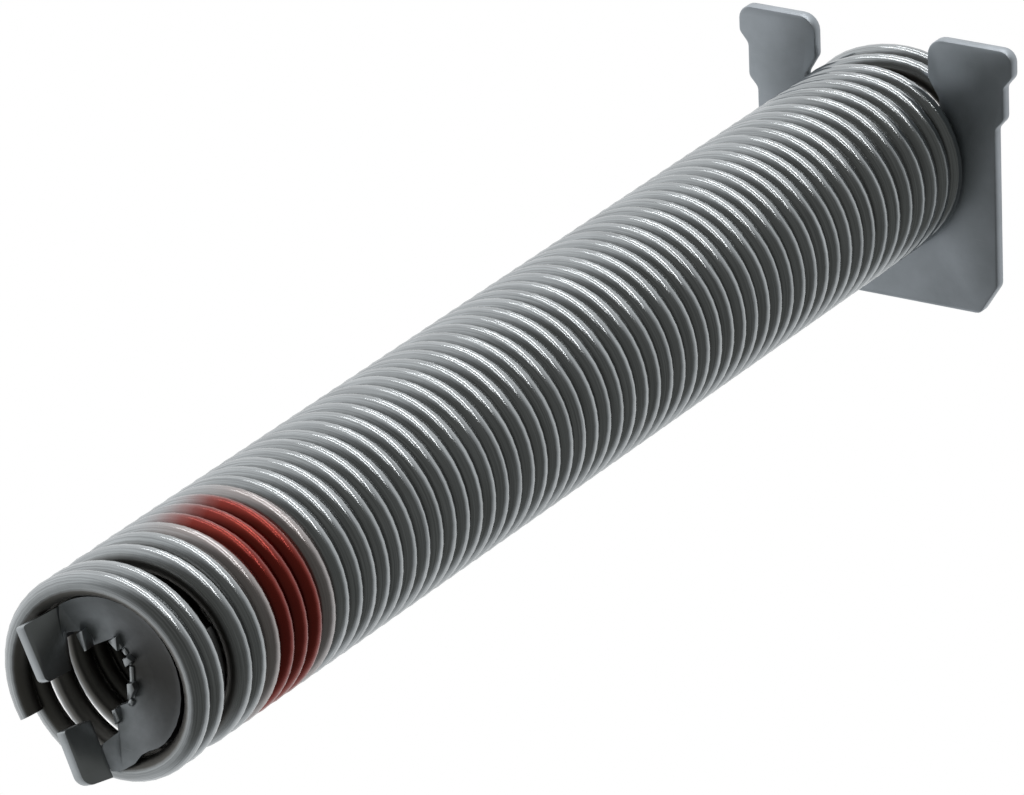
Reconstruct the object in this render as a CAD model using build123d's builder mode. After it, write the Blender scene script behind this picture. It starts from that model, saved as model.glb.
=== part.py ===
from build123d import *
from math import atan2, cos, degrees, radians, sin
import os

# Appliance door spring, lying with its coil axis level along +Y and its front end towards -Y.
# The origin is on the surface it lies on, under the middle of its length.

# Coil: close-wound round spring wire, right-handed, with one opened turn near the front
wire_diameter = 2.45
turn_pitch = 2.5
coil_mean_radius = 9.875
coil_turns = 59.23
coil_start_angle = -211.9
front_close_angle = 653.0
front_open_angle = 280.0
front_open_gap = 2.5
seat_gap = 0.05

# Last turn in front of the plate, then the tail, which crosses the slot and closes behind the plate
last_turn_rise_angle = 89.0
last_turn_gap = 0.66
slot_crossing_angle = 77.0
tail_flat_angle = 298.0
tail_flat_rise = 0.43
tail_climb_angle = 62.0
tail_end_angle = 188.0
point_spacing_angle = 15.0

# Rear hook plate: flat sheet square to the axis, with two ears on top and a round-bottomed slot
plate_thickness = 1.52
plate_rise = 14.31
plate_drop = 16.69
ear_half_width = 16.8
ear_height = 3.0
ear_step = 1.07
ear_step_height = 1.3
shoulder_height = 3.74
waist_step = 1.07
waist_step_height = 1.21
foot_step = 2.22
foot_chamfer_height = 3.44
ear_outer_radius = 1.5
ear_inner_radius = 1.9
plate_corner_radius = 1.0
neck_half_width = 6.94
neck_offset = -0.43
neck_rise = 9.71
slot_clearance = 0.41
slot_flare_height = 2.13

# Front insert: one bent stamping, with a base plate in the bore and two prongs turned forward
sheet_thickness = 1.0
insert_clearance = 0.3
rim_depth = 1.2
base_depth = 3.4
flat_radius = 3.6
flange_reach = 5.49
flange_top_angle = 150.8
flange_top_inset = 0.35
flange_tip_angle = -100.24
flange_tip_overhang = 0.04
flange_bow = 0.55
prong_width = 5.95
prong_corner_radius = 0.6
skirt_top_angle = 45.0
skirt_bottom_angle = -70.0
lip_clearance = 0.15
lip_engagement = 0.95

# Opening of the insert, which is open to the left between the prongs
opening_right = 1.0
opening_top = 1.85
opening_bottom = -3.5
opening_corner_radius = 1.0
top_notch_left = -5.9
top_notch_width = 2.0
top_notch_height = 1.2
gap_notch_left = -2.35
gap_notch_width = 1.3
gap_notch_height = 1.0
lower_notch_angle = -118.0
lower_notch_rim = 0.85
lower_notch_width = 2.8
lower_notch_length = 5.0

# Upright teeth round the opening: the place of each and the direction that it faces away from it
tooth_width = 1.6
tooth_depth = 0.85
tooth_height = 0.95
tooth_places = [
    Location((-3.5, 2.25), 100),
    Location((-0.35, 2.4), 60),
    Location((1.15, 1.1), 35),
    Location((1.4, -1.85), -10),
    Location((-0.55, -4.9), -25),
]

wire_radius = wire_diameter / 2
bore_radius = coil_mean_radius - wire_radius
coil_outer_radius = coil_mean_radius + wire_radius
lead = turn_pitch / 360
axis_height = plate_drop

# Stations along the axis, measured from the middle of the wire's cut front end
open_start = front_close_angle * lead
open_end = open_start + front_open_angle * lead + front_open_gap
coil_end = coil_turns * turn_pitch + front_open_gap
plate_front = coil_end + wire_radius + seat_gap
last_turn_start = coil_end - turn_pitch
last_turn_raised = plate_front - wire_radius - last_turn_gap
plate_rear = plate_front + plate_thickness
tail_seat = plate_rear + wire_radius + seat_gap
tail_flat_end = tail_seat + tail_flat_rise
tail_lift = tail_seat + wire_diameter + seat_gap
tail_end = tail_lift + tail_flat_rise * tail_end_angle / tail_flat_angle
insert_front = base_depth - flange_reach
middle = (insert_front + tail_end + wire_radius) / 2

# Winding angles, clockwise seen from the front, of the same stations
open_start_angle = coil_start_angle + front_close_angle
open_end_angle = open_start_angle + front_open_angle
coil_end_angle = coil_start_angle + coil_turns * 360
last_turn_angle = coil_end_angle - 360
last_raised_angle = last_turn_angle + last_turn_rise_angle
crossing_end_angle = coil_end_angle + slot_crossing_angle
flat_end_angle = crossing_end_angle + tail_flat_angle
lift_end_angle = flat_end_angle + tail_climb_angle
wire_end_angle = lift_end_angle + tail_end_angle


def ease(share):
    """Smooth rise from 0 to 1."""
    return share * share * (3 - 2 * share)


def rising(angle, start_angle, end_angle, start, end):
    """Station on a smooth rise that starts and ends at the coil's own lead."""
    share = (angle - start_angle) / (end_angle - start_angle)
    extra = end - start - (end_angle - start_angle) * lead
    return start + (angle - start_angle) * lead + extra * ease(share)


def wire_station(angle):
    """Station of the wire's centre along the axis at a winding angle."""
    if angle <= open_start_angle:
        return (angle - coil_start_angle) * lead
    if angle <= open_end_angle:
        return rising(angle, open_start_angle, open_end_angle, open_start, open_end)
    if angle <= last_turn_angle:
        return open_end + (angle - open_end_angle) * lead
    if angle <= last_raised_angle:
        return rising(angle, last_turn_angle, last_raised_angle, last_turn_start, last_turn_raised)
    if angle <= coil_end_angle:
        return rising(angle, last_raised_angle, coil_end_angle, last_turn_raised, coil_end)
    if angle <= crossing_end_angle:
        return rising(angle, coil_end_angle, crossing_end_angle, coil_end, tail_seat)
    if angle <= flat_end_angle:
        return tail_seat + tail_flat_rise * (angle - crossing_end_angle) / tail_flat_angle
    if angle <= lift_end_angle:
        return rising(angle, flat_end_angle, lift_end_angle, tail_flat_end, tail_lift)
    return tail_lift + tail_flat_rise * (angle - lift_end_angle) / tail_flat_angle


def wire_point(angle):
    """Centre of the wire at a winding angle, with the axis along +Z, from where the turns close up again."""
    turned = radians(angle - open_end_angle)
    return Vector(
        coil_mean_radius * cos(turned),
        coil_mean_radius * sin(turned),
        wire_station(angle) - open_end,
    )


def wire_points(start_angle, end_angle):
    """Evenly spaced centres of the wire between two winding angles."""
    steps = round((end_angle - start_angle) / point_spacing_angle)
    return [wire_point(start_angle + (end_angle - start_angle) * i / steps) for i in range(steps + 1)]


def wire_direction(angle):
    """Direction of the wire where it follows the coil's own lead."""
    turned = radians(angle - open_end_angle)
    return Vector(
        -coil_mean_radius * sin(turned),
        coil_mean_radius * cos(turned),
        degrees(lead),
    ).normalized()


def axis_plane(station):
    """Plane square to the axis, facing forward, with its x across and its y up."""
    return Plane(origin=(0, station - middle, axis_height), x_dir=(1, 0, 0), z_dir=(0, -1, 0))


# The coil is wound along +Z in three runs, then laid along +Y at its place
front_run = Spline(
    *wire_points(coil_start_angle, open_end_angle),
    tangents=[wire_direction(coil_start_angle), wire_direction(open_end_angle)],
    tangent_scalars=[1, 1],
)
body_run = Helix(pitch=turn_pitch, height=last_turn_start - open_end, radius=coil_mean_radius)
tail_run = Spline(
    *wire_points(last_turn_angle, wire_end_angle),
    tangents=[wire_direction(last_turn_angle), wire_direction(wire_end_angle)],
    tangent_scalars=[1, 1],
)
with BuildPart() as wound_wire:
    for run in (front_run, body_run, tail_run):
        with BuildSketch(Plane(origin=run @ 0, z_dir=run % 0)):
            Circle(wire_radius)
        sweep(path=run, is_frenet=True)
coil_plane = Plane(
    origin=(0, open_end - middle, axis_height),
    x_dir=(cos(radians(open_end_angle)), 0, -sin(radians(open_end_angle))),
    z_dir=(0, 1, 0),
)
with BuildPart(coil_plane) as coil_spring:
    add(wound_wire.part)
coil_spring.part.label = "coil_spring"

# Rear hook plate
ear_level = plate_rise - ear_height
shoulder_top = ear_level - ear_step_height
waist_start = shoulder_top - shoulder_height
waist_top = waist_start - waist_step_height
shoulder_half_width = ear_half_width - ear_step
waist_half_width = shoulder_half_width - waist_step
right_side = [
    (ear_half_width, plate_rise),
    (ear_half_width, ear_level),
    (shoulder_half_width, shoulder_top),
    (shoulder_half_width, waist_start),
    (waist_half_width, waist_top),
    (waist_half_width, foot_chamfer_height - plate_drop),
    (waist_half_width - foot_step, -plate_drop),
]
left_side = [(-x, z) for x, z in reversed(right_side)]
slot_radius = bore_radius - slot_clearance
slot_shoulder = neck_rise - slot_flare_height
with BuildPart() as rear_hook_plate:
    with BuildSketch(axis_plane(plate_rear)) as plate_outline:
        with BuildLine():
            Polyline(*right_side, *left_side, close=True)
        make_face()
        top_corners = plate_outline.vertices().group_by(Axis.Y)[-1]
        other_corners = plate_outline.vertices() - top_corners
        fillet(other_corners, radius=plate_corner_radius)
        fillet(plate_outline.vertices().group_by(Axis.Y)[-1], radius=ear_outer_radius)
        with BuildLine():
            Polyline(
                (neck_offset + neck_half_width, plate_rise + ear_outer_radius),
                (neck_offset + neck_half_width, neck_rise),
                (neck_offset + slot_radius, slot_shoulder),
                (neck_offset + slot_radius, 0),
            )
            ThreePointArc(
                (neck_offset + slot_radius, 0),
                (neck_offset, -slot_radius),
                (neck_offset - slot_radius, 0),
            )
            Polyline(
                (neck_offset - slot_radius, 0),
                (neck_offset - slot_radius, slot_shoulder),
                (neck_offset - neck_half_width, neck_rise),
                (neck_offset - neck_half_width, plate_rise + ear_outer_radius),
                (neck_offset + neck_half_width, plate_rise + ear_outer_radius),
            )
        make_face(mode=Mode.SUBTRACT)
        inner_corners = plate_outline.vertices().sort_by_distance((neck_offset, plate_rise))[:2]
        fillet(inner_corners, radius=ear_inner_radius)
    extrude(amount=plate_thickness)
rear_hook_plate.part.label = "rear_hook_plate"

# Front insert
insert_radius = bore_radius - insert_clearance
base_rear = base_depth + sheet_thickness
rim_rear = rim_depth + sheet_thickness
lip_front = wire_station(360 - skirt_bottom_angle) + wire_radius + lip_clearance
lip_rear = lip_front + sheet_thickness
lip_radius = bore_radius + lip_engagement
flange_top = Vector(coil_mean_radius - flange_top_inset, 0).rotate(Axis.Z, flange_top_angle)
flange_tip = Vector(coil_outer_radius + flange_tip_overhang, 0).rotate(Axis.Z, flange_tip_angle)
flange_run = (flange_tip - flange_top).normalized()
flange_length = (flange_tip - flange_top).length
flange_middle = flange_top + flange_run * flange_length / 2
flange_angle = degrees(atan2(flange_run.Y, flange_run.X))
top_prong_back = wire_station(-flange_top_angle) - wire_radius - lip_clearance
lower_prong_back = wire_station(-flange_tip_angle) - wire_radius - lip_clearance
lower_notch_middle = insert_radius - lower_notch_rim - lower_notch_length / 2
far = 2 * coil_outer_radius


def sector(radius, start_angle, end_angle):
    """Wedge round the axis, large enough to cover a radius, between two angles from +X."""
    middle_angle = (start_angle + end_angle) / 2
    return [(0, 0)] + [
        (radius * cos(radians(angle)), radius * sin(radians(angle)))
        for angle in (start_angle, middle_angle, end_angle)
    ]


with BuildSketch() as flange_section:
    with BuildLine():
        SagittaArc(flange_top, flange_tip, -flange_bow)
        offset(amount=sheet_thickness, side=Side.LEFT, closed=True)
    make_face()
    with Locations(flange_middle):
        Rectangle(
            flange_length - 2 * prong_width,
            far,
            rotation=flange_angle,
            mode=Mode.SUBTRACT,
        )
side_plane = Plane(origin=(0, -middle, axis_height), x_dir=(0, 1, 0), z_dir=(1, 0, 0))
coil_axis = Axis((0, 0, axis_height), (0, 1, 0))
with BuildPart() as front_insert:
    with BuildSketch(side_plane) as dished_base:
        with BuildLine():
            Polyline(
                (base_depth, 0),
                (base_depth, flat_radius),
                (rim_depth, insert_radius),
                (rim_rear, insert_radius),
                (base_rear, flat_radius),
                (base_rear, 0),
                close=True,
            )
        make_face()
    revolve(axis=coil_axis)
    with BuildSketch(axis_plane(base_rear)) as opening:
        with BuildLine():
            SagittaArc(flange_top, flange_tip, -flange_bow)
            Polyline(flange_tip, (-far, flange_tip.Y), (-far, flange_top.Y), flange_top)
        make_face()
        with Locations((opening_right - far / 2, (opening_top + opening_bottom) / 2)):
            RectangleRounded(far, opening_top - opening_bottom, opening_corner_radius)
        with Locations((top_notch_left, opening_top)):
            Rectangle(top_notch_width, 2 * top_notch_height, align=(Align.MIN, Align.CENTER))
        with Locations((gap_notch_left, opening_top)):
            Rectangle(gap_notch_width, 2 * gap_notch_height, align=(Align.MIN, Align.CENTER))
        with PolarLocations(lower_notch_middle, 1, lower_notch_angle):
            Rectangle(lower_notch_length, lower_notch_width)
    extrude(amount=flange_reach + sheet_thickness, mode=Mode.SUBTRACT)
    with BuildSketch(axis_plane(base_rear)):
        with Locations(*tooth_places):
            Rectangle(tooth_depth, tooth_width)
    extrude(amount=sheet_thickness + tooth_height)
    with BuildSketch(axis_plane(top_prong_back)):
        add(flange_section.sketch.faces().sort_by(Axis.Y)[-1])
    extrude(amount=top_prong_back - insert_front)
    with BuildSketch(axis_plane(lower_prong_back)):
        add(flange_section.sketch.faces().sort_by(Axis.Y)[0])
    extrude(amount=lower_prong_back - insert_front)
    front_edges = front_insert.edges().group_by(Axis.Y)[0]
    prong_corners = front_edges.filter_by(lambda edge: abs(edge.length - sheet_thickness) < lip_clearance)
    fillet(prong_corners, radius=prong_corner_radius)
    # Each prong's root lies inside the bore, behind the coil's front turn
    with BuildSketch(axis_plane(base_rear)):
        add(flange_section.sketch.faces().sort_by(Axis.Y)[-1])
        Circle(insert_radius, mode=Mode.INTERSECT)
    extrude(amount=base_rear - top_prong_back)
    with BuildSketch(axis_plane(base_rear)):
        add(flange_section.sketch.faces().sort_by(Axis.Y)[0])
        Circle(insert_radius, mode=Mode.INTERSECT)
    extrude(amount=base_rear - lower_prong_back)
    with BuildSketch(axis_plane(lip_rear)):
        with BuildLine():
            Polyline(*sector(far, skirt_bottom_angle, skirt_top_angle), close=True)
        make_face()
        Circle(insert_radius, mode=Mode.INTERSECT)
        Circle(insert_radius - sheet_thickness, mode=Mode.SUBTRACT)
    extrude(amount=lip_rear - rim_rear)
    with BuildSketch(axis_plane(lip_rear)):
        with BuildLine():
            Polyline(*sector(far, skirt_bottom_angle, skirt_top_angle), close=True)
        make_face()
        Circle(lip_radius, mode=Mode.INTERSECT)
        Circle(insert_radius - sheet_thickness, mode=Mode.SUBTRACT)
    extrude(amount=sheet_thickness)
front_insert.part.label = "front_insert"

os.makedirs("parts", exist_ok=True)
export_step(coil_spring.part, "parts/coil_spring.step")
export_step(rear_hook_plate.part, "parts/rear_hook_plate.step")
export_step(front_insert.part, "parts/front_insert.step")
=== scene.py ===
"""Appliance door spring: a close-wound steel coil with a hook plate and a pronged insert."""

import logging
from dataclasses import dataclass, field
from enum import Enum
from math import atan2, ceil, cos, degrees, hypot, pi, radians, sin, sqrt

import bmesh
import bpy
from mathutils import Matrix, Vector


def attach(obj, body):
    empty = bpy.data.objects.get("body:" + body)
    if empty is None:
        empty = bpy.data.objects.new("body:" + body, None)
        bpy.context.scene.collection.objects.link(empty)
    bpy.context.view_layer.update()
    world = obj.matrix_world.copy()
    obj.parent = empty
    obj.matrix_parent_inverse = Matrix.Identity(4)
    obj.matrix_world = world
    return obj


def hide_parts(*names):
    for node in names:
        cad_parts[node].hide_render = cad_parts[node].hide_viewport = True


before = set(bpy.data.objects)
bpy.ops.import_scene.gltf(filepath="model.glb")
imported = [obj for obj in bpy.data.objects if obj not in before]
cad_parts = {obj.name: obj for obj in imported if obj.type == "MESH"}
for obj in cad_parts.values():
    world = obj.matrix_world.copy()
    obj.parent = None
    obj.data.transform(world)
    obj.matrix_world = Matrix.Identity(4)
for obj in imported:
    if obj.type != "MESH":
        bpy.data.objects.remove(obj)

LOG = logging.getLogger("door_spring")
MM = 0.001
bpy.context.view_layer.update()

# The frame's own places, in millimetres: the height of the coil's axis, and the distance from the
# wire's cut front end to the middle of the spring.
AXIS_HEIGHT = 16.69
MIDDLE = 78.2756
# A noise texture's values lie mostly between these two.
NOISE_LOW = 0.3
NOISE_HIGH = 0.7
# Degrees between two faces: over these, an edge of a sheet is rounded, a cut end of the wire stays
# sharp, and a fold of a stamping stays sharp.
EDGE_ANGLE = 50.0
FOLD_ANGLE = 32.0
# The largest angle between two points of a rounded corner, and the distance in millimetres under
# which two points of a sheet are one.
ROUNDING_STEP = 15.0
MERGE_DISTANCE = 0.02

# A place across the coil and its station along it, in millimetres from the axis and the cut end.
Place = tuple[float, float, float]


class EdgeFinish(Enum):
    """How a sheet's edge was left, with the width of its rounding in millimetres."""

    SHEARED = 0.10
    TUMBLED = 0.22


class Covering(Enum):
    """How thickly the lacquer lies."""

    SWIPE = 1.0
    SMEAR = 0.45


def linear(code: str) -> tuple[float, float, float, float]:
    """Turns an sRGB hex colour to linear.

    Args:
        code: The colour as six hex digits after a hash.

    Returns:
        Red, green, blue and an alpha of one.
    """
    parts = [int(code[i:i + 2], 16) / 255 for i in (1, 3, 5)]
    red, green, blue = [c / 12.92 if c <= 0.04045 else ((c + 0.055) / 1.055) ** 2.4 for c in parts]
    return red, green, blue, 1.0


def add_node(tree: bpy.types.NodeTree, kind: str, settings: dict | None = None,
             links: dict | None = None) -> bpy.types.Node:
    """Adds a node with its settings and its incoming links.

    Args:
        tree: The node tree.
        kind: The node's type, after "ShaderNode".
        settings: Attributes by name, or socket values by socket name or index.
        links: What feeds a socket, by its name or index: a socket, or a node for its first output.

    Returns:
        The new node.
    """
    node = tree.nodes.new("ShaderNode" + kind)
    for key, value in (settings or {}).items():
        if isinstance(key, str) and hasattr(node, key):
            setattr(node, key, value)
        else:
            node.inputs[key].default_value = value
    for key, source in (links or {}).items():
        if isinstance(source, bpy.types.Node):
            source = source.outputs[0]
        tree.links.new(source, node.inputs[key])
    return node


def place(x: float, station: float, z: float) -> Vector:
    """Row position of a point across the coil at a station along it.

    Args:
        x: Millimetres to the right of the axis.
        station: Millimetres along the axis from the wire's cut end.
        z: Millimetres above the axis.

    Returns:
        The point in metres.
    """
    return Vector((x, station - MIDDLE, z + AXIS_HEIGHT)) * MM


def add_object(name: str, data: bpy.types.ID) -> bpy.types.Object:
    """Adds an object to the scene.

    Args:
        name: The object's name.
        data: Its mesh, lamp or camera.

    Returns:
        The object.
    """
    obj = bpy.data.objects.new(name, data)
    bpy.context.scene.collection.objects.link(obj)
    return obj


def empty_tree(owner: bpy.types.Material | bpy.types.World) -> bpy.types.NodeTree:
    """Gives a material or the world an empty node tree.

    Args:
        owner: The material or the world.

    Returns:
        Its tree.
    """
    owner.use_nodes = True
    owner.node_tree.nodes.clear()
    return owner.node_tree


def new_mesh(name: str, points: list[Vector], faces: list[tuple[int, ...]],
             sharp_angle: float) -> bpy.types.Object:
    """Makes a smooth mesh object from points and faces, with its faces turned outwards.

    Args:
        name: The object's name.
        points: The points in metres.
        faces: The faces by point number.
        sharp_angle: Degrees between two faces over which their edge stays sharp.

    Returns:
        The object, linked to the scene.
    """
    mesh = bpy.data.meshes.new(name)
    mesh.from_pydata(points, [], faces)
    work = bmesh.new()
    work.from_mesh(mesh)
    bmesh.ops.recalc_face_normals(work, faces=work.faces)
    work.to_mesh(mesh)
    work.free()
    mesh.polygons.foreach_set("use_smooth", [True] * len(mesh.polygons))
    mesh.set_sharp_from_angle(angle=radians(sharp_angle))
    return add_object(name, mesh)


def soften(work: bmesh.types.BMesh, edge: EdgeFinish) -> None:
    """Rounds the sharp edges of a sheet.

    Args:
        work: The sheet, which is changed.
        edge: How its edges were left.
    """
    rims = [e for e in work.edges if e.calc_face_angle(0) > radians(EDGE_ANGLE)]
    bmesh.ops.bevel(work, geom=rims, offset=edge.value * MM, segments=2, profile=0.5,
                    affect="EDGES", clamp_overlap=True)


def prism(outline: list[tuple[float, float]], front: float, back: float,
          edge: EdgeFinish) -> bmesh.types.BMesh:
    """Cuts a flat sheet from its outline and rounds its edges.

    Args:
        outline: Corners across the coil in millimetres, in order.
        front: Station of the front face.
        back: Station of the rear face.
        edge: How the edges were left.

    Returns:
        The sheet as a bmesh, in metres.
    """
    work = bmesh.new()
    near = [work.verts.new(place(x, front, z)) for x, z in outline]
    far = [work.verts.new(place(x, back, z)) for x, z in outline]
    count = len(outline)
    work.faces.new(near)
    work.faces.new(list(reversed(far)))
    for i in range(count):
        j = (i + 1) % count
        work.faces.new((near[j], near[i], far[i], far[j]))
    bmesh.ops.recalc_face_normals(work, faces=work.faces)
    soften(work, edge)
    return work


def join(name: str, parts: list[bmesh.types.BMesh]) -> bpy.types.Object:
    """Joins the bodies of one stamping in one mesh object with sharp folds.

    Args:
        name: The object's name.
        parts: The bodies, which are freed.

    Returns:
        The object, linked to the scene.
    """
    points: list[Vector] = []
    faces: list[tuple[int, ...]] = []
    for part in parts:
        part.verts.index_update()
        base = len(points)
        points += [v.co.copy() for v in part.verts]
        faces += [tuple(v.index + base for v in f.verts) for f in part.faces]
        part.free()
    return new_mesh(name, points, faces, FOLD_ANGLE)


def arc(centre: tuple[float, float], radius: float, start: float, end: float,
        step: float = 6.0) -> list[tuple[float, float]]:
    """Points on an arc across the coil.

    Args:
        centre: The arc's centre in millimetres.
        radius: Its radius in millimetres.
        start: First angle from +X towards +Z, in degrees.
        end: Last angle.
        step: Largest angle between two points.

    Returns:
        The points from start to end.
    """
    count = max(2, round(abs(end - start) / step))
    return [(centre[0] + radius * cos(radians(start + (end - start) * i / count)),
             centre[1] + radius * sin(radians(start + (end - start) * i / count)))
            for i in range(count + 1)]


def rounded(corners: list[tuple[float, float, float]]) -> list[tuple[float, float]]:
    """Rounds the corners of an outline.

    Args:
        corners: Each corner's place and radius, in order; a radius of 0 leaves it.

    Returns:
        The outline with arcs in place of the rounded corners.
    """
    result: list[tuple[float, float]] = []
    count = len(corners)
    for i, (x, z, radius) in enumerate(corners):
        here = Vector((x, z))
        if radius == 0:
            result.append((x, z))
            continue
        before = (Vector(corners[i - 1][:2]) - here).normalized()
        after = (Vector(corners[(i + 1) % count][:2]) - here).normalized()
        half = before.angle(after) / 2
        reach = radius / (sin(half) / cos(half))
        centre = here + (before + after).normalized() * radius / sin(half)
        first = here + before * reach - centre
        last = here + after * reach - centre
        turn = atan2(first.x * last.y - first.y * last.x, first.dot(last))
        steps = max(2, round(abs(degrees(turn)) / ROUNDING_STEP))
        for k in range(steps + 1):
            swung = Matrix.Rotation(turn * k / steps, 2) @ first + centre
            result.append((swung.x, swung.y))
    return result


def between(start: Place, end: Place, share: float) -> Place:
    """Point part of the way between two places.

    Args:
        start: The first place.
        end: The second place.
        share: How far along, from 0 to 1.

    Returns:
        The point.
    """
    return tuple(p + (q - p) * share for p, q in zip(start, end))


def sheet_from_grid(front: list[list[Vector]], back: list[list[Vector]]) -> bmesh.types.BMesh:
    """Closes a bent sheet between two grids of the same size.

    Args:
        front: Rows of points on its front face, in metres.
        back: The matching points on its rear face.

    Returns:
        The sheet as a bmesh.
    """
    work = bmesh.new()
    grids = [[[work.verts.new(p) for p in row] for row in grid] for grid in (front, back)]
    rows, count = len(front), len(front[0])
    for grid in grids:
        for i in range(rows - 1):
            for j in range(count - 1):
                work.faces.new((grid[i][j], grid[i][j + 1], grid[i + 1][j + 1], grid[i + 1][j]))
    rim = [(0, j) for j in range(count)]
    rim += [(i, count - 1) for i in range(1, rows)]
    rim += [(rows - 1, j) for j in reversed(range(count - 1))]
    rim += [(i, 0) for i in reversed(range(1, rows - 1))]
    for (i, j), (k, m) in zip(rim, rim[1:] + rim[:1]):
        work.faces.new((grids[0][i][j], grids[1][i][j], grids[1][k][m], grids[0][k][m]))
    bmesh.ops.remove_doubles(work, verts=work.verts, dist=MERGE_DISTANCE * MM)
    bmesh.ops.recalc_face_normals(work, faces=work.faces)
    return work


@dataclass(frozen=True)
class PhosphatedSpringWire:
    """Hard-drawn spring steel wire, phosphated, with a thin oil film.

    It gives a satin dark grey metal with thin bright lines along its crest, faint lines along the
    wire, and painted shade: a brownish dark colour between the turns and on the wire's inner side
    in the bore. Lengths are in millimetres, and the reaches of the painted shade are shares of the
    way from the bore to where two turns touch.
    """

    name: str = "Hard-drawn spring steel, phosphated and oiled"
    steel: str = "#bcc0c2"
    dull: str = "#a3a6a7"
    # The brownish dark colour painted as shade between the turns and in the bore.
    groove_shade: str = "#6f6d69"
    roughness: float = 0.2
    wire_radius: float = 1.23
    die_line_width: float = 0.16
    die_line_aspect: float = 60.0
    line_shades: tuple[float, float] = (0.72, 1.2)
    patch_size: float = 7.0
    # Where the painted shade starts and is full between the turns, how faint it stays on the front
    # turns, where it lies in the bore, and how much rougher it makes the wire.
    shade_reach: float = 1.5
    shade_full: float = 1.02
    faint_shade_turns: tuple[float, float] = (1.4, 2.0)
    faint_shade_share: float = 0.15
    bore_reach: float = 0.95
    bore_full: float = 0.75
    shade_roughness: float = 0.25

    def make(self, paint: "MarkingLacquer | None" = None) -> bpy.types.Material:
        """Builds the material.

        Args:
            paint: The lacquer that marks the spring, if any.

        Returns:
            The material.
        """
        material = bpy.data.materials.new(self.name)
        tree = empty_tree(material)
        along = add_node(tree, "Attribute", {"attribute_name": "along_wire"}).outputs["Fac"]
        around = add_node(tree, "Attribute", {"attribute_name": "around_wire"}).outputs["Fac"]
        # Die lines run along the wire and are far longer than wide.
        line_length = self.die_line_aspect * self.die_line_width
        down = add_node(tree, "Math", {"operation": "MULTIPLY", 1: 1 / line_length}, {0: along})
        over = add_node(
            tree, "Math", {"operation": "MULTIPLY", 1: 1 / self.die_line_width}, {0: around})
        lines_at = add_node(tree, "CombineXYZ", links={"X": down, "Y": over})
        lines = add_node(tree, "TexNoise", {"Scale": 1.0, "Detail": 2.0}, {"Vector": lines_at})
        # Duller patches follow each other along the wire and change from turn to turn.
        patch = add_node(
            tree, "Math", {"operation": "MULTIPLY", 1: 1 / self.patch_size}, {0: along})
        patches_at = add_node(tree, "CombineXYZ", links={"X": patch})
        patches = add_node(tree, "TexNoise", {"Scale": 1.0, "Detail": 2.0}, {"Vector": patches_at})
        bare = add_node(
            tree, "Mix", {"data_type": "RGBA", 6: linear(self.dull), 7: linear(self.steel)},
            {0: patches})
        darkest, lightest = self.line_shades
        shade = add_node(
            tree, "MapRange",
            {"From Min": NOISE_LOW, "From Max": NOISE_HIGH, "To Min": darkest, "To Max": lightest},
            {"Value": lines})
        streaked = add_node(
            tree, "Mix", {"data_type": "RGBA", "blend_type": "MULTIPLY", 0: 1.0},
            {6: bare.outputs[2], 7: shade})
        # Painted shade: the colour darkens where two turns touch, a quarter of the way round from
        # the crest.
        contact = self.wire_radius * pi / 2
        groove_shade = add_node(
            tree, "MapRange",
            {"From Min": contact * self.shade_reach, "From Max": contact * self.shade_full},
            {"Value": around})
        # The painted shade between the turns is kept faint on the front turns.
        turn = add_node(tree, "Attribute", {"attribute_name": "turn"}).outputs["Fac"]
        first_faint, last_faint = self.faint_shade_turns
        behind = add_node(
            tree, "MapRange",
            {"From Min": first_faint, "From Max": last_faint, "To Min": self.faint_shade_share},
            {"Value": turn})
        between_turns = add_node(tree, "Math", {"operation": "MULTIPLY"}, {0: groove_shade, 1: behind})
        # Painted shade also darkens the wire's inner side, in the bore.
        in_bore = add_node(
            tree, "MapRange",
            {"From Min": contact * self.bore_reach, "From Max": contact * self.bore_full},
            {"Value": around})
        painted_shade = add_node(tree, "Math", {"operation": "MAXIMUM"}, {0: between_turns, 1: in_bore})
        # The brownish dark painted shade is mixed into the steel's colour; the same mask raises the
        # roughness.
        colour = add_node(
            tree, "Mix", {"data_type": "RGBA", 7: linear(self.groove_shade)},
            {0: painted_shade, 6: streaked.outputs[2]})
        gloss = add_node(
            tree, "MapRange",
            {"To Min": self.roughness, "To Max": self.roughness + self.shade_roughness},
            {"Value": painted_shade})
        bump = add_node(tree, "Bump", {"Strength": 0.015, "Distance": 0.00002}, {"Height": lines})
        steel = add_node(
            tree, "BsdfPrincipled", {"Metallic": 1.0},
            {"Base Color": colour.outputs[2], "Roughness": gloss, "Normal": bump})
        surface = paint.over(tree, steel, bump, painted_shade) if paint else steel
        add_node(tree, "OutputMaterial", links={"Surface": surface})
        return material


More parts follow.
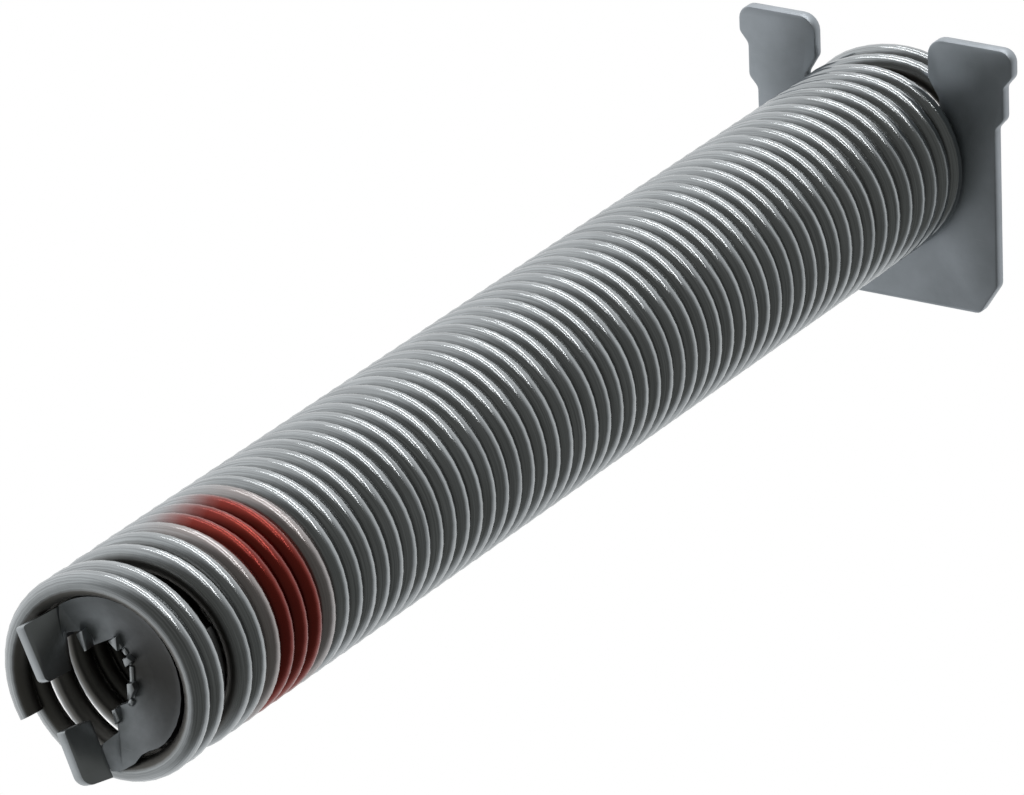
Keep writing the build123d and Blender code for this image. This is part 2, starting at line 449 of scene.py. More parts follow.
@dataclass(frozen=True)
class MarkingLacquer:
    """Red nitrocellulose marking lacquer, brushed on thinly over a few turns.

    It gives a deep wine red with painted shade that darkens it between the turns, a smooth gloss
    with orange red only in the highlights, and a faint pinkish film at its edges. Places and widths
    along the coil are in turns, and scales in patches per metre.
    """

    thick: str = "#7a1d15"
    thin: str = "#96301f"
    # The dark red painted as shade in the grooves between the turns.
    groove_shade: str = "#421712"
    film: str = "#b09c96"
    first_turn: float = 5.42
    last_turn: float = 8.62
    edge_raggedness: float = 0.22
    edge_softness: float = 0.12
    smear_before: float = 0.9
    smear_after: float = 0.7
    rag_scale: float = 200.0
    depth_scale: float = 260.0

    def over(self, tree: bpy.types.NodeTree, steel: bpy.types.Node, bump: bpy.types.Node,
             painted_shade: bpy.types.Node) -> bpy.types.Node:
        """Lays the lacquer over the steel.

        Args:
            tree: The wire's node tree.
            steel: The bare wire's shader.
            bump: The bare wire's bump.
            painted_shade: How much painted shade lies on a point, between two turns and in the
                bore.

        Returns:
            The shader of the marked wire.
        """
        turn = add_node(tree, "Attribute", {"attribute_name": "turn"}).outputs["Fac"]
        side = add_node(tree, "Attribute", {"attribute_name": "swiped_side"}).outputs["Fac"]
        at = add_node(tree, "TexCoord").outputs["Object"]
        # The brush left edges that wander to and fro over about 5 mm.
        rag = add_node(
            tree, "TexNoise", {"Scale": self.rag_scale, "Detail": 3.0, "Roughness": 0.5},
            {"Vector": at})
        wander = add_node(
            tree, "MapRange",
            {"From Min": NOISE_LOW, "From Max": NOISE_HIGH, "To Min": -self.edge_raggedness,
             "To Max": self.edge_raggedness}, {"Value": rag})
        moved = add_node(tree, "Math", {"operation": "ADD"}, {0: turn, 1: wander})
        covers = []
        soft = self.edge_softness
        swipe = (Covering.SWIPE, self.first_turn, self.last_turn)
        smear = (Covering.SMEAR, self.first_turn - self.smear_before,
                 self.last_turn + self.smear_after)
        for covering, first, last in (swipe, smear):
            start = add_node(
                tree, "MapRange", {"From Min": first - soft, "From Max": first + soft},
                {"Value": moved})
            stop = add_node(
                tree, "MapRange", {"From Min": last + soft, "From Max": last - soft},
                {"Value": moved})
            both = add_node(tree, "Math", {"operation": "MULTIPLY"}, {0: start, 1: stop})
            swiped = add_node(tree, "Math", {"operation": "MULTIPLY"}, {0: both, 1: side})
            covers.append(add_node(
                tree, "Math", {"operation": "MULTIPLY", 1: covering.value}, {0: swiped}))
        depth = add_node(
            tree, "TexNoise", {"Scale": self.depth_scale, "Detail": 2.0}, {"Vector": at})
        red = add_node(
            tree, "Mix", {"data_type": "RGBA", 6: linear(self.thick), 7: linear(self.thin)},
            {0: depth})
        # Painted shade: the red is darkened where the wire's shade mask lies, between the turns and
        # in the bore.
        red_with_shade = add_node(
            tree, "Mix", {"data_type": "RGBA", 7: linear(self.groove_shade)},
            {0: painted_shade, 6: red.outputs[2]})
        lacquer = add_node(
            tree, "BsdfPrincipled",
            {"Metallic": 0.75, "Roughness": 0.24, "Coat Weight": 0.25, "Coat Roughness": 0.15},
            {"Base Color": red_with_shade.outputs[2], "Normal": bump})
        film = add_node(
            tree, "BsdfPrincipled",
            {"Metallic": 0.9, "Roughness": 0.3, "Base Color": linear(self.film)}, {"Normal": bump})
        smeared = add_node(tree, "MixShader", links={0: covers[1], 1: steel, 2: film})
        return add_node(tree, "MixShader", links={0: covers[0], 1: smeared, 2: lacquer})


@dataclass(frozen=True)
class StampedSheetSteel:
    """Cold-rolled sheet steel, stamped, tumbled and phosphated.

    It gives a matt blue-grey face with faint cloudy patches and a few hairline scratches, a painted
    dark brown shade where it lies deep in the bore, bright bare metal where an edge was ripped, and
    the same bright colour painted on the prongs as light.
    """

    name: str = "Cold-rolled steel, stamped and phosphated"
    face: str = "#b8bdc1"
    cloud: str = "#8f9496"
    scratch: str = "#bcc1c4"
    # Bright bare metal of ripped edges, also painted on the prongs as light.
    torn_and_painted_light: str = "#d4d8da"
    # Dark brown painted as shade where the stamping lies deep in the bore.
    bore_shade: str = "#33312e"
    roughness: float = 0.42
    torn_roughness: float = 0.2
    # How strongly the painted shade darkens the stamping deep in the bore.
    bore_shade_strength: float = 0.95
    cloud_size: float = 5.0
    hairline_scale: tuple[float, float, float] = (330.0, 900.0, 9000.0)
    hairline_tilt: tuple[float, float, float] = (0.0, 0.7, 0.0)
    grain_scale: float = 5000.0
    cloud_span: tuple[float, float] = (0.32, 0.66)
    hairline_span: tuple[float, float] = (0.68, 0.80)
    hairline_strength: float = 0.35

    def make(self) -> bpy.types.Material:
        """Builds the material.

        Returns:
            The material.
        """
        material = bpy.data.materials.new(self.name)
        tree = empty_tree(material)
        at = add_node(tree, "TexCoord").outputs["Object"]
        clouds = add_node(
            tree, "TexNoise",
            {"Scale": 1 / (self.cloud_size * MM), "Detail": 4.0, "Roughness": 0.55}, {"Vector": at})
        face = add_node(tree, "ValToRGB", links={"Fac": clouds})
        for element, position, colour in zip(face.color_ramp.elements, self.cloud_span,
                                             (self.cloud, self.face)):
            element.position = position
            element.color = linear(colour)
        # Hairlines are about 0.1 mm wide and 3 mm long.
        stretched = add_node(
            tree, "Mapping", {"Scale": self.hairline_scale, "Rotation": self.hairline_tilt},
            {"Vector": at})
        hairs = add_node(tree, "TexNoise", {"Scale": 1.0, "Detail": 1.0}, {"Vector": stretched})
        faintest, fullest = self.hairline_span
        scratched = add_node(
            tree, "MapRange",
            {"From Min": faintest, "From Max": fullest, "To Max": self.hairline_strength},
            {"Value": hairs})
        bare = add_node(
            tree, "Mix", {"data_type": "RGBA", 7: linear(self.scratch)}, {0: scratched, 6: face})
        # Painted shade: dark brown laid where the stamping lies deep in the bore, most at the
        # right.
        bore_shade_share = add_node(tree, "Attribute", {"attribute_name": "bore_shade_share"}).outputs["Fac"]
        bore_shade = add_node(tree, "Math", {"operation": "MULTIPLY", 1: self.bore_shade_strength}, {0: bore_shade_share})
        with_bore_shade = add_node(
            tree, "Mix", {"data_type": "RGBA", 7: linear(self.bore_shade)},
            {0: bore_shade, 6: bare.outputs[2]})
        # Bright bare metal on the ripped teeth and collar, and painted light on the prongs.
        bright = add_node(tree, "Attribute", {"attribute_name": "torn_and_painted_light"}).outputs["Fac"]
        colour = add_node(
            tree, "Mix", {"data_type": "RGBA", 7: linear(self.torn_and_painted_light)},
            {0: bright, 6: with_bore_shade.outputs[2]})
        gloss = add_node(
            tree, "MapRange", {"To Min": self.roughness, "To Max": self.torn_roughness},
            {"Value": bright})
        grain = add_node(
            tree, "TexNoise", {"Scale": self.grain_scale, "Detail": 2.0}, {"Vector": at})
        bump = add_node(tree, "Bump", {"Strength": 0.1, "Distance": 0.00003}, {"Height": grain})
        steel = add_node(
            tree, "BsdfPrincipled", {"Metallic": 0.9},
            {"Base Color": colour.outputs[2], "Roughness": gloss, "Normal": bump})
        add_node(tree, "OutputMaterial", links={"Surface": steel})
        return material


@dataclass
class CoilSpring:
    """The wound wire, from its cut front end to the tail behind the plate.

    Lengths are in millimetres and angles in degrees. Winding angles run clockwise seen from the
    front, and the turns are counted at the angle that faces the camera. The marks are the winding
    angles where the wire's lead changes, each with its station.
    """

    wire_diameter: float = 2.46
    pitch: float = 2.5
    mean_radius: float = 9.875
    turns: float = 59.23
    start_angle: float = -211.9
    close_angle: float = 653.0
    open_angle: float = 280.0
    open_gap: float = 2.5
    kink: float = 1.0
    kink_start: float = 400.0
    kink_angle: float = 200.0
    plate_thickness: float = 1.52
    seat_gap: float = 0.05
    raised_angle: float = 89.0
    raised_gap: float = 0.12
    fanned_turns: int = 6
    crossing_angle: float = 77.0
    flat_angle: float = 298.0
    flat_rise: float = 0.43
    climb_angle: float = 62.0
    end_angle: float = 188.0
    angle_step: float = 7.5
    section_points: int = 16
    counting_angle: float = -38.9
    waver: float = 0.012
    waver_rates: tuple[float, float] = (2.1, 0.37)
    brush_middle: float = -2.0
    brush_reach: float = 112.0
    brush_fade: float = 22.0
    marks: list[tuple[float, float]] = field(init=False)

    def __post_init__(self) -> None:
        """Works out the wire's stations at the angles where its lead changes."""
        lead = self.pitch / 360
        open_start = self.start_angle + self.close_angle
        open_end = open_start + self.open_angle
        body_end = self.start_angle + self.turns * 360
        crossed = body_end + self.crossing_angle
        flat = crossed + self.flat_angle
        climbed = flat + self.climb_angle
        radius = self.wire_diameter / 2
        body_station = self.turns * self.pitch + self.open_gap
        raised = body_station + self.seat_gap - self.raised_gap
        seat = body_station + 2 * radius + 2 * self.seat_gap + self.plate_thickness
        lifted = seat + self.wire_diameter + self.seat_gap
        self.marks = [
            (self.start_angle, 0.0),
            (open_start, self.close_angle * lead),
            (open_end, (self.close_angle + self.open_angle) * lead + self.open_gap),
            (body_end - 360, body_station - self.pitch),
            (body_end - 360 + self.raised_angle, raised),
            (body_end, body_station),
            (crossed, seat),
            (flat, seat + self.flat_rise),
            (climbed, lifted),
            (climbed + self.end_angle, lifted + self.flat_rise * self.end_angle / self.flat_angle),
        ]

    def station(self, angle: float) -> float:
        """Distance of the wire's centre along the axis.

        Args:
            angle: Winding angle in degrees, clockwise seen from the front.

        Returns:
            The station in millimetres.
        """
        lead = self.pitch / 360
        for (a0, s0), (a1, s1) in zip(self.marks, self.marks[1:]):
            if angle <= a1:
                share = (angle - a0) / (a1 - a0)
                extra = s1 - s0 - (a1 - a0) * lead
                return s0 + (angle - a0) * lead + extra * share * share * (3 - 2 * share)
        return self.marks[-1][1]

    def unevenness(self, angle: float) -> float:
        """Small uneven set of the turns along the axis.

        The opened turn is also kinked back on its hidden side, towards the turn behind it, and the
        turns in front of the last one fan out evenly towards its raised side.

        Args:
            angle: Winding angle in degrees.

        Returns:
            The shift of the wire in millimetres.
        """
        turn = angle / 360
        quick, slow = self.waver_rates
        shift = self.waver * sin(turn * quick) * sin(turn * slow + 1.0)
        into_kink = (angle - self.kink_start) / self.kink_angle
        if 0 < into_kink < 1:
            shift += self.kink * sin(pi * into_kink) ** 2
        last_turn, closed = self.marks[3]
        turns_before = ceil((last_turn - angle) / 360)
        if 0 < turns_before <= self.fanned_turns:
            same = angle + 360 * turns_before
            lifted = self.station(same) - closed - (same - last_turn) * self.pitch / 360
            shift += lifted * (1 - turns_before / (self.fanned_turns + 1))
        return shift

    def build(self) -> bpy.types.Object:
        """Winds the wire as a round tube with a square-cut end at each end.

        Returns:
            The coil, with its winding stored for the finishes.
        """
        first, last = self.marks[0][0], self.marks[-1][0]
        count = round((last - first) / self.angle_step)
        points: list[Vector] = []
        faces: list[tuple[int, ...]] = []
        along: list[float] = []
        around: list[float] = []
        turn: list[float] = []
        ring = self.section_points
        radius = self.wire_diameter / 2
        for i in range(count + 1):
            angle = first + (last - first) * i / count
            before, after = max(angle - 1, first), min(angle + 1, last)
            slope = (self.station(after) - self.station(before)) / (after - before) * degrees(1)
            out = Vector((cos(radians(angle)), 0, -sin(radians(angle))))
            forward = Vector((-self.mean_radius * sin(radians(angle)), slope,
                              -self.mean_radius * cos(radians(angle)))).normalized()
            across = forward.cross(out).normalized()
            station = self.station(angle) + self.unevenness(angle)
            centre = Vector((self.mean_radius * out.x, station - MIDDLE,
                             self.mean_radius * out.z + AXIS_HEIGHT))
            for j in range(ring):
                turned = 2 * pi * j / ring
                points.append((centre + radius * (cos(turned) * out + sin(turned) * across)) * MM)
                along.append(self.mean_radius * radians(angle))
                around.append(radius * abs(turned - pi))
                turn.append((angle - self.counting_angle + 360) / 360)
            if i:
                base = (i - 1) * ring
                for j in range(ring):
                    k = (j + 1) % ring
                    faces.append((base + j, base + k, base + ring + k, base + ring + j))
        faces.append(tuple(range(ring)))
        faces.append(tuple(reversed(range(count * ring, (count + 1) * ring))))
        coil = new_mesh("Wound_wire", points, faces, EDGE_ANGLE)
        swiped = [self.swiped(p) for p in points]
        for name, values in (("along_wire", along), ("around_wire", around), ("turn", turn),
                             ("swiped_side", swiped)):
            layer = coil.data.attributes.new(name, "FLOAT", "POINT")
            layer.data.foreach_set("value", values)
        return coil

    def swiped(self, point: Vector) -> float:
        """How far the brush reached a point, from 0 at the coil's left to 1 at its right.

        Args:
            point: A point of the wire in metres.

        Returns:
            The share of paint.
        """
        angle = degrees(atan2(point.z / MM - AXIS_HEIGHT, point.x / MM))
        away = abs((angle - self.brush_middle + 180) % 360 - 180)
        return min(1.0, max(0.0, (self.brush_reach - away) / self.brush_fade))

    def dress(self, coil: bpy.types.Object, finish: bpy.types.Material) -> None:
        """Gives the wire its finish and puts it in place of its solid.

        Args:
            coil: The wound wire.
            finish: The marked wire's material.
        """
        coil.data.materials.append(finish)
        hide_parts("coil_spring")
        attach(coil, "root")


@dataclass
class HookPlate:
    """The flat sheet at the rear that the wire is threaded through.

    Lengths are in millimetres. The rise, the drop and the neck's rise are taken from the axis.
    """

    front: float = 151.85
    thickness: float = 1.52
    rise: float = 14.31
    drop: float = 16.69
    ear_half_width: float = 16.8
    ear_height: float = 3.0
    step: float = 1.07
    ear_step_height: float = 1.3
    shoulder_height: float = 3.74
    waist_step_height: float = 1.21
    foot_step: float = 2.22
    foot_height: float = 3.44
    ear_outer_radius: float = 1.5
    ear_inner_radius: float = 1.9
    corner_radius: float = 1.0
    neck_half_width: float = 6.94
    neck_offset: float = -0.43
    neck_rise: float = 9.71
    flare_height: float = 2.13
    slot_radius: float = 8.24
    slot_corner_radius: float = 0.8

    def outline(self) -> list[tuple[float, float]]:
        """Corners of the sheet with their roundings.

        Returns:
            The outline across the coil, in order.
        """
        half = self.ear_half_width
        shoulder = half - self.step
        waist = shoulder - self.step
        ear = self.rise - self.ear_height
        top = ear - self.ear_step_height
        low = top - self.shoulder_height
        right = [(half, self.rise, self.ear_outer_radius), (half, ear, self.corner_radius),
                 (shoulder, top, self.corner_radius), (shoulder, low, self.corner_radius),
                 (waist, low - self.waist_step_height, self.corner_radius),
                 (waist, self.foot_height - self.drop, self.corner_radius),
                 (waist - self.foot_step, -self.drop, self.corner_radius)]
        left = [(-x, z, r) for x, z, r in reversed(right)]
        shoulder_z = self.neck_rise - self.flare_height
        neck_left = self.neck_offset - self.neck_half_width
        neck_right = self.neck_offset + self.neck_half_width
        seat = [(x, z, 0.0) for x, z in arc((self.neck_offset, 0), self.slot_radius, -180, 0)]
        corner = self.slot_corner_radius
        slot = [(neck_left, self.rise, self.ear_inner_radius), (neck_left, self.neck_rise, corner),
                (self.neck_offset - self.slot_radius, shoulder_z, corner), *seat,
                (self.neck_offset + self.slot_radius, shoulder_z, corner),
                (neck_right, self.neck_rise, corner),
                (neck_right, self.rise, self.ear_inner_radius)]
        return rounded(right + left + slot)

    def build(self) -> bpy.types.Object:
        """Cuts the sheet.

        Returns:
            The plate.
        """
        sheet = prism(self.outline(), self.front, self.front + self.thickness, EdgeFinish.TUMBLED)
        return join("Hook_plate", [sheet])

    def dress(self, plate: bpy.types.Object, finish: bpy.types.Material) -> None:
        """Gives the plate its finish and puts it in place of its solid.

        Args:
            plate: The cut sheet.
            finish: Its material.
        """
        plate.data.materials.append(finish)
        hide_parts("rear_hook_plate")
        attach(plate, "root")


@dataclass(frozen=True)
class Prong:
    """A prong turned forward from the base, by the corners of its inner face.

    Each corner is its place across the coil and its station. The outer end is the one that
    reaches past the bore, where the sheet thins into the fold in front of the wire.
    """

    front_inner: Place
    front_outer: Place
    back_inner: Place
    back_outer: Place
    inner_rounding: float
    outer_rounding: float
    thinning: float = 0.75
    columns: int = 28
    rows: int = 8

    def body(self, sheet: float) -> bmesh.types.BMesh:
        """Bends the prong.

        Args:
            sheet: Thickness of the sheet.

        Returns:
            The prong as a bmesh.
        """
        run = Vector(self.front_outer[:2]) - Vector(self.front_inner[:2])
        width = run.length
        outward = Vector((run.y, -run.x)).normalized()
        if outward.x > 0:
            outward = -outward
        reach = self.back_inner[2] - self.front_inner[2]
        columns, rows = self.columns, self.rows
        front, back = [], []
        for i in range(rows + 1):
            faces: tuple[list[Vector], list[Vector]] = ([], [])
            for j in range(columns + 1):
                share = (1 - cos(pi * j / columns)) / 2
                recess = 0.0
                for rounding, away in ((self.inner_rounding, share * width),
                                       (self.outer_rounding, (1 - share) * width)):
                    short = max(0.0, rounding - away)
                    recess = max(recess, rounding - sqrt(max(0.0, rounding ** 2 - short ** 2)))
                depth = (i / rows) + (1 - i / rows) * recess / reach
                x, z, station = between(between(self.front_inner, self.front_outer, share),
                                        between(self.back_inner, self.back_outer, share), depth)
                thickness = sheet * (1 - self.thinning * depth * share)
                faces[0].append(place(x, station, z))
                faces[1].append(place(x + outward.x * thickness, station,
                                      z + outward.y * thickness))
            front.append(faces[0])
            back.append(faces[1])
        work = sheet_from_grid(front, back)
        soften(work, EdgeFinish.TUMBLED)
        return work


@dataclass
class FrontInsert:
    """The bent stamping in the front bore: a dished base with a toothed opening and two prongs.

    Lengths are in millimetres and angles in degrees. The base lies flat round the axis and rises
    to its rim, where it meets the bore. The contour holds the ripped opening's corners across the
    coil, in the same direction as the rim. The lower prong stands over the first turn.
    """

    sheet: float = 1.0
    radius: float = 8.35
    rim_front: float = 1.0
    flat_front: float = 3.4
    flat_radius: float = 3.6
    tooth_height: float = 0.85
    collar_width: float = 0.6
    collar_height: float = 0.45
    collar_unevenness: float = 0.3
    grid_step: float = 0.45
    grid_rows: int = 9
    torn_shine: float = 0.55
    # How much of the bright colour is painted on the prongs as light.
    prong_painted_light: float = 0.45
    # Where the painted shade in the bore starts and is full, where it is strongest, and the least
    # it gets.
    bore_shade_start: float = 0.3
    bore_shade_depth: float = 0.8
    bore_shade_angle: float = 12.0
    bore_shade_least: float = 0.3
    lip_front: float = 5.833
    lip_radius: float = 9.6
    skirt_angles: tuple[float, float] = (-70.0, 30.0)
    opening_centre: tuple[float, float] = (-2.2, -1.0)
    contour: tuple[tuple[float, float], ...] = (
        (-1.57, -7.69), (0.1, -6.2), (-0.68, -4.15), (0.63, -3.5), (1.01, -2.77), (1.0, 0.6),
        (0.67, 1.46), (0.18, 2.06), (-0.88, 2.97), (-3.09, 1.8), (-3.98, 3.43), (-5.12, 3.25),
        (-5.15, 2.75))
    upper_prong: Prong = Prong(
        front_inner=(-4.95, -0.35, -2.09), front_outer=(-7.33, 5.18, -2.09),
        back_inner=(-4.75, -0.51, 1.9), back_outer=(-5.25, 6.35, 1.75),
        inner_rounding=0.7, outer_rounding=0.25)
    lower_prong: Prong = Prong(
        front_inner=(-3.29, -5.04, -2.09), front_outer=(-1.14, -10.54, -2.09),
        back_inner=(-2.75, -5.33, 1.7), back_outer=(0.55, -10.1, 0.2),
        inner_rounding=0.3, outer_rounding=1.2)

    def dish_station(self, x: float, z: float) -> float:
        """Station of the dished base's front face.

        Args:
            x: Millimetres to the right of the axis.
            z: Millimetres above the axis.

        Returns:
            The station in millimetres.
        """
        share = (hypot(x, z) - self.flat_radius) / (self.radius - self.flat_radius)
        return self.flat_front - (self.flat_front - self.rim_front) * min(1.0, max(0.0, share))

    def rim(self) -> list[Place]:
        """The base's outer edge, from the lower prong's fold round to the upper prong's fold.

        Returns:
            The edge's places, in order.
        """
        seat = [(x, z, self.rim_front) for x, z in arc((0, 0), self.radius, -48, 130)]
        fold = [(-1.57, -7.69, 0.9), (0.3, -9.7, 0.4), (1.3, -9.35, 0.5), (2.3, -8.8, 0.65),
                (3.1, -8.1, 0.8), (3.5, -7.3, 1.0), (4.5, -6.7, 1.0)]
        return fold + seat + [(-5.15, 2.7, 1.3)]

    def base(self) -> bmesh.types.BMesh:
        """The dished base, between the opening's contour and the rim.

        Returns:
            The base as a bmesh.
        """
        contour = [Vector(p) for p in self.contour]
        edge = []
        for start, end in zip(contour, contour[1:]):
            steps = max(1, round((end - start).length / self.grid_step))
            edge += [start.lerp(end, k / steps) for k in range(steps)]
        edge.append(contour[-1])
        centre = Vector(self.opening_centre)
        rows = self.grid_rows
        front = []
        for inner in edge:
            x, z, station = self.outward_hit(centre, inner)
            start = (inner.x, inner.y, self.dish_station(inner.x, inner.y))
            line = []
            for k in range(rows + 1):
                px, pz, ps = between(start, (x, z, station), k / rows)
                off_dish = station - self.dish_station(x, z)
                dished = self.dish_station(px, pz) + off_dish * (k / rows) ** 2
                line.append(place(px, 0.5 * (ps + dished), pz))
            front.append(line)
        back = [[p + Vector((0, self.sheet * MM, 0)) for p in line] for line in front]
        return sheet_from_grid(front, back)

    def outward_hit(self, centre: Vector, through: Vector) -> Place:
        """Where a line from the opening's centre through a point meets the rim.

        Args:
            centre: The opening's centre.
            through: A point of the contour.

        Returns:
            The place on the rim.
        """
        run = (through - centre).normalized()
        best = None
        rim = self.rim()
        for start, end in zip(rim, rim[1:]):
            side = Vector((end[0] - start[0], end[1] - start[1]))
            away = Vector((start[0] - centre.x, start[1] - centre.y))
            cross = run.x * side.y - run.y * side.x
            if abs(cross) < 1e-9:
                continue
            distance = (away.x * side.y - away.y * side.x) / cross
            share = (away.x * run.y - away.y * run.x) / cross
            nearer = best is None or distance < best[0]
            if distance > 0 and -1e-6 <= share <= 1 + 1e-6 and nearer:
                best = (distance, between(start, end, share))
        if best is None:
            return through.x, through.y, self.dish_station(through.x, through.y)
        return best[1]

    def ring_sector(self, inner: float, outer: float, front: float,
                    back: float) -> bmesh.types.BMesh:
        """A curved wall between two radii over the skirt's angles.

        Args:
            inner: Inner radius.
            outer: Outer radius.
            front: Station of its front.
            back: Station of its rear.

        Returns:
            The wall as a bmesh.
        """
        start, end = self.skirt_angles
        outline = arc((0, 0), outer, start, end) + list(reversed(arc((0, 0), inner, start, end)))
        return prism(outline, front, back, EdgeFinish.SHEARED)

    def collar(self) -> list[bmesh.types.BMesh]:
        """The ripped collar that stands up round the right of the opening.

        Returns:
            Its walls as bmeshes, which stand a little unevenly.
        """
        edge = [Vector(p) for p in self.contour[3:9]]
        walls = []
        for i, (start, end) in enumerate(zip(edge, edge[1:])):
            out = Vector((end.y - start.y, start.x - end.x)).normalized() * self.collar_width
            root = self.dish_station(start.x, start.y)
            tall = self.collar_height * (1.0 - self.collar_unevenness * (i % 2))
            walls.append(prism([tuple(start), tuple(end), tuple(end + out), tuple(start + out)],
                               root - tall, root + self.sheet / 2, EdgeFinish.TUMBLED))
        return walls

    def teeth(self) -> list[bmesh.types.BMesh]:
        """The upright teeth round the opening.

        Returns:
            The teeth as bmeshes.
        """
        faces = [
            [(-3.98, 3.43), (-3.2, 4.0), (-2.75, 1.95), (-3.1, 1.79)],
            [(-0.88, 2.97), (0.12, 3.68), (0.18, 2.09)],
            [(0.67, 1.46), (1.25, 1.71), (1.86, 1.44), (1.0, 0.6)],
            [(1.03, -1.09), (1.66, -0.92), (1.95, -1.53), (1.38, -2.71), (1.07, -2.77)],
            [(-0.68, -4.15), (-0.24, -3.92), (0.23, -5.0), (-0.37, -5.65)],
        ]
        teeth = []
        for face in faces:
            root = self.dish_station(*face[0])
            teeth.append(prism(face, root - self.tooth_height, root + self.sheet / 2,
                               EdgeFinish.SHEARED))
        return teeth

    def build(self) -> bpy.types.Object:
        """Bends and cuts the stamping, and stores where painted shade lies and where it is made
        brighter:
        bare metal on the teeth and collar, painted light on the prongs.

        Returns:
            The insert.
        """
        skirt_inner = self.radius - self.sheet
        parts = [
            self.base(),
            self.upper_prong.body(self.sheet),
            self.lower_prong.body(self.sheet),
            self.ring_sector(skirt_inner, self.radius, self.rim_front + self.sheet,
                             self.lip_front + self.sheet),
            self.ring_sector(skirt_inner, self.lip_radius, self.lip_front,
                             self.lip_front + self.sheet),
        ]
        torn_parts = [*self.teeth(), *self.collar()]
        base = len(parts[0].verts)
        prongs = base + len(parts[1].verts) + len(parts[2].verts)
        plain = sum(len(part.verts) for part in parts)
        insert = join("Pronged_insert", parts + torn_parts)
        points = insert.data.vertices
        # The prongs get part of the bright colour as painted light; the ripped parts get it as bare
        # metal.
        for name, values in (("bore_shade_share", [self.bore_shade(v.co) for v in points]),
                             ("torn_and_painted_light", [self.torn_shine if v.index >= plain
                                       else self.prong_painted_light * (base <= v.index < prongs)
                                       for v in points])):
            insert.data.attributes.new(name, "FLOAT", "POINT").data.foreach_set("value", values)
        return insert

    def bore_shade(self, point: Vector) -> float:
        """How much painted shade lies at a point: most at the right of the dish, none on the
        prongs.

        Args:
            point: A point of the stamping in metres.

        Returns:
            The share of painted shade.
        """
        x, z = point.x / MM, point.z / MM - AXIS_HEIGHT
        station = point.y / MM + MIDDLE
        inside = min(1.0, max(0.0, (station - self.bore_shade_start) / self.bore_shade_depth))
        right = max(0.0, cos(atan2(z, x) - radians(self.bore_shade_angle)))
        return inside * (self.bore_shade_least + (1 - self.bore_shade_least) * right)

    def dress(self, insert: bpy.types.Object, finish: bpy.types.Material) -> None:
        """Gives the insert its finish and puts it in place of its solid.

        Args:
            insert: The stamping.
            finish: Its material.
        """
        insert.data.materials.append(finish)
        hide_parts("front_insert")
        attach(insert, "root")


@dataclass(frozen=True)
class StripLamp:
    """A long thin lamp that draws one bright line along the crests of the turns.

    Its place and its size are in metres and its power in watts.
    """

    name: str
    place_at: tuple[float, float, float]
    size: tuple[float, float]
    power: float
    target: tuple[float, float, float] = (0.0, 0.0, 0.015)

    def hang(self) -> None:
        """Hangs the lamp so that it faces its target."""
        data = bpy.data.lights.new(self.name, "AREA")
        data.shape = "RECTANGLE"
        data.size, data.size_y = self.size
        data.energy = self.power
        lamp = add_object(self.name, data)
        lamp.location = self.place_at
        facing = Vector(self.place_at) - Vector(self.target)
        lamp.rotation_euler = facing.to_track_quat("Z", "Y").to_euler()


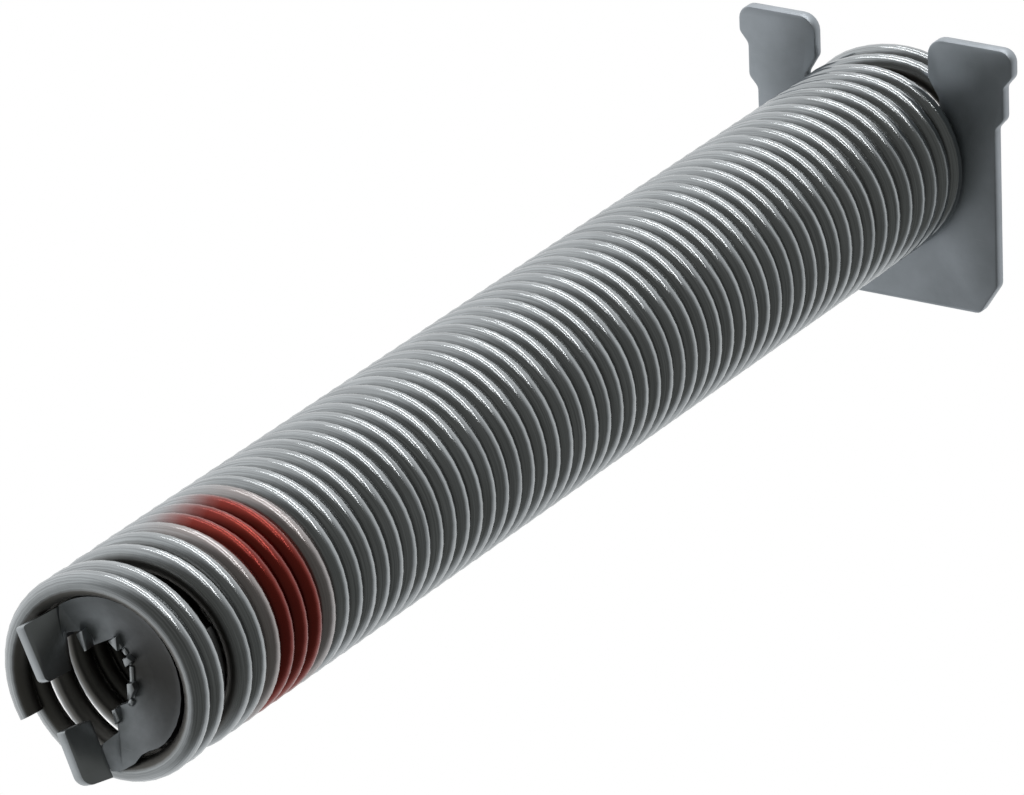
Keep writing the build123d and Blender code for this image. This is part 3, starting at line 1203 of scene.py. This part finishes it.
@dataclass
class Studio:
    """The room round the spring, the lamps and the camera.

    The camera's place is in millimetres, and its axes are unit vectors. The walls are given by how
    far a direction turns to the pale side, from 0 to 1, and their colour there.
    """

    lens: float = 326.33
    sensor: float = 36.0
    eye: tuple[float, float, float] = (460.80, -739.03, 388.20)
    right: tuple[float, float, float] = (0.85515, 0.51716, -0.03555)
    up: tuple[float, float, float] = (-0.17545, 0.35327, 0.91892)
    back: tuple[float, float, float] = (0.48778, -0.77958, 0.39284)
    pale_side: tuple[float, float, float] = (-0.8, 0.6, 0.0)
    dark_wall: tuple[float, str] = (0.24, "#5f605e")
    corner_wall: tuple[float, str] = (0.36, "#929495")
    side_wall: tuple[float, str] = (0.50, "#d6d8d9")
    pale_wall: tuple[float, str] = (0.92, "#fafbfc")
    clip_end: float = 20.0
    lamps: tuple[StripLamp, ...] = (
        StripLamp("Rear strip lamp", (0.15, 0.36, 0.52), (0.90, 0.02), 0.8),
        StripLamp("Overhead strip lamp", (0.05, 0.14, 0.60), (0.80, 0.02), 0.5),
    )

    def camera(self) -> None:
        """Sets the camera at the photograph's place."""
        data = bpy.data.cameras.new("Camera")
        data.lens = self.lens
        data.sensor_width = self.sensor
        data.sensor_fit = "HORIZONTAL"
        data.clip_end = self.clip_end
        camera = add_object("Camera", data)
        turned = Matrix((self.right, self.up, self.back)).transposed().to_4x4()
        camera.matrix_world = Matrix.Translation(Vector(self.eye) * MM) @ turned
        bpy.context.scene.camera = camera

    def surroundings(self) -> None:
        """Fills the room with light: pale behind and to the left, dark where the camera stands."""
        world = bpy.data.worlds.new("Studio")
        tree = empty_tree(world)
        looking = add_node(tree, "TexCoord")
        towards = add_node(
            tree, "VectorMath", {"operation": "DOT_PRODUCT", 1: self.pale_side},
            {0: looking.outputs["Generated"]})
        share = add_node(
            tree, "MapRange", {"From Min": -1.0, "From Max": 1.0},
            {"Value": towards.outputs["Value"]})
        room = add_node(tree, "ValToRGB", links={"Fac": share})
        ramp = room.color_ramp
        for element, (position, colour) in zip(ramp.elements, (self.dark_wall, self.pale_wall)):
            element.position = position
            element.color = linear(colour)
        for position, colour in (self.corner_wall, self.side_wall):
            ramp.elements.new(position).color = linear(colour)
        path = add_node(tree, "LightPath")
        plain = add_node(
            tree, "Math", {"operation": "MAXIMUM"},
            {0: path.outputs["Is Camera Ray"], 1: path.outputs["Is Transmission Ray"]})
        seen = add_node(tree, "Mix", {"data_type": "RGBA", 7: (1, 1, 1, 1)}, {0: plain, 6: room})
        light = add_node(tree, "Background", {"Strength": 1.0}, {"Color": seen.outputs[2]})
        add_node(tree, "OutputWorld", links={"Surface": light})
        bpy.context.scene.world = world

    def build(self) -> None:
        """Sets up the studio."""
        self.camera()
        self.surroundings()
        for lamp in self.lamps:
            lamp.hang()
        bpy.context.scene.view_settings.view_transform = "Standard"


def main() -> None:
    """Builds the studio and the spring's pieces in order."""
    logging.basicConfig(level=logging.INFO, format="%(message)s")
    Studio().build()
    wire_finish = PhosphatedSpringWire().make(MarkingLacquer())
    plate_finish = StampedSheetSteel(name="Cold-rolled plate steel, stamped and phosphated",
                                     face="#b4bac0", cloud="#a6acb1").make()
    insert_finish = StampedSheetSteel().make()
    for piece, finish in ((CoilSpring(), wire_finish), (HookPlate(), plate_finish),
                          (FrontInsert(), insert_finish)):
        obj = piece.build()
        piece.dress(obj, finish)
        LOG.info("%s: %d points, %d faces", obj.name, len(obj.data.vertices),
                 len(obj.data.polygons))


if __name__ == "__main__":
    main()
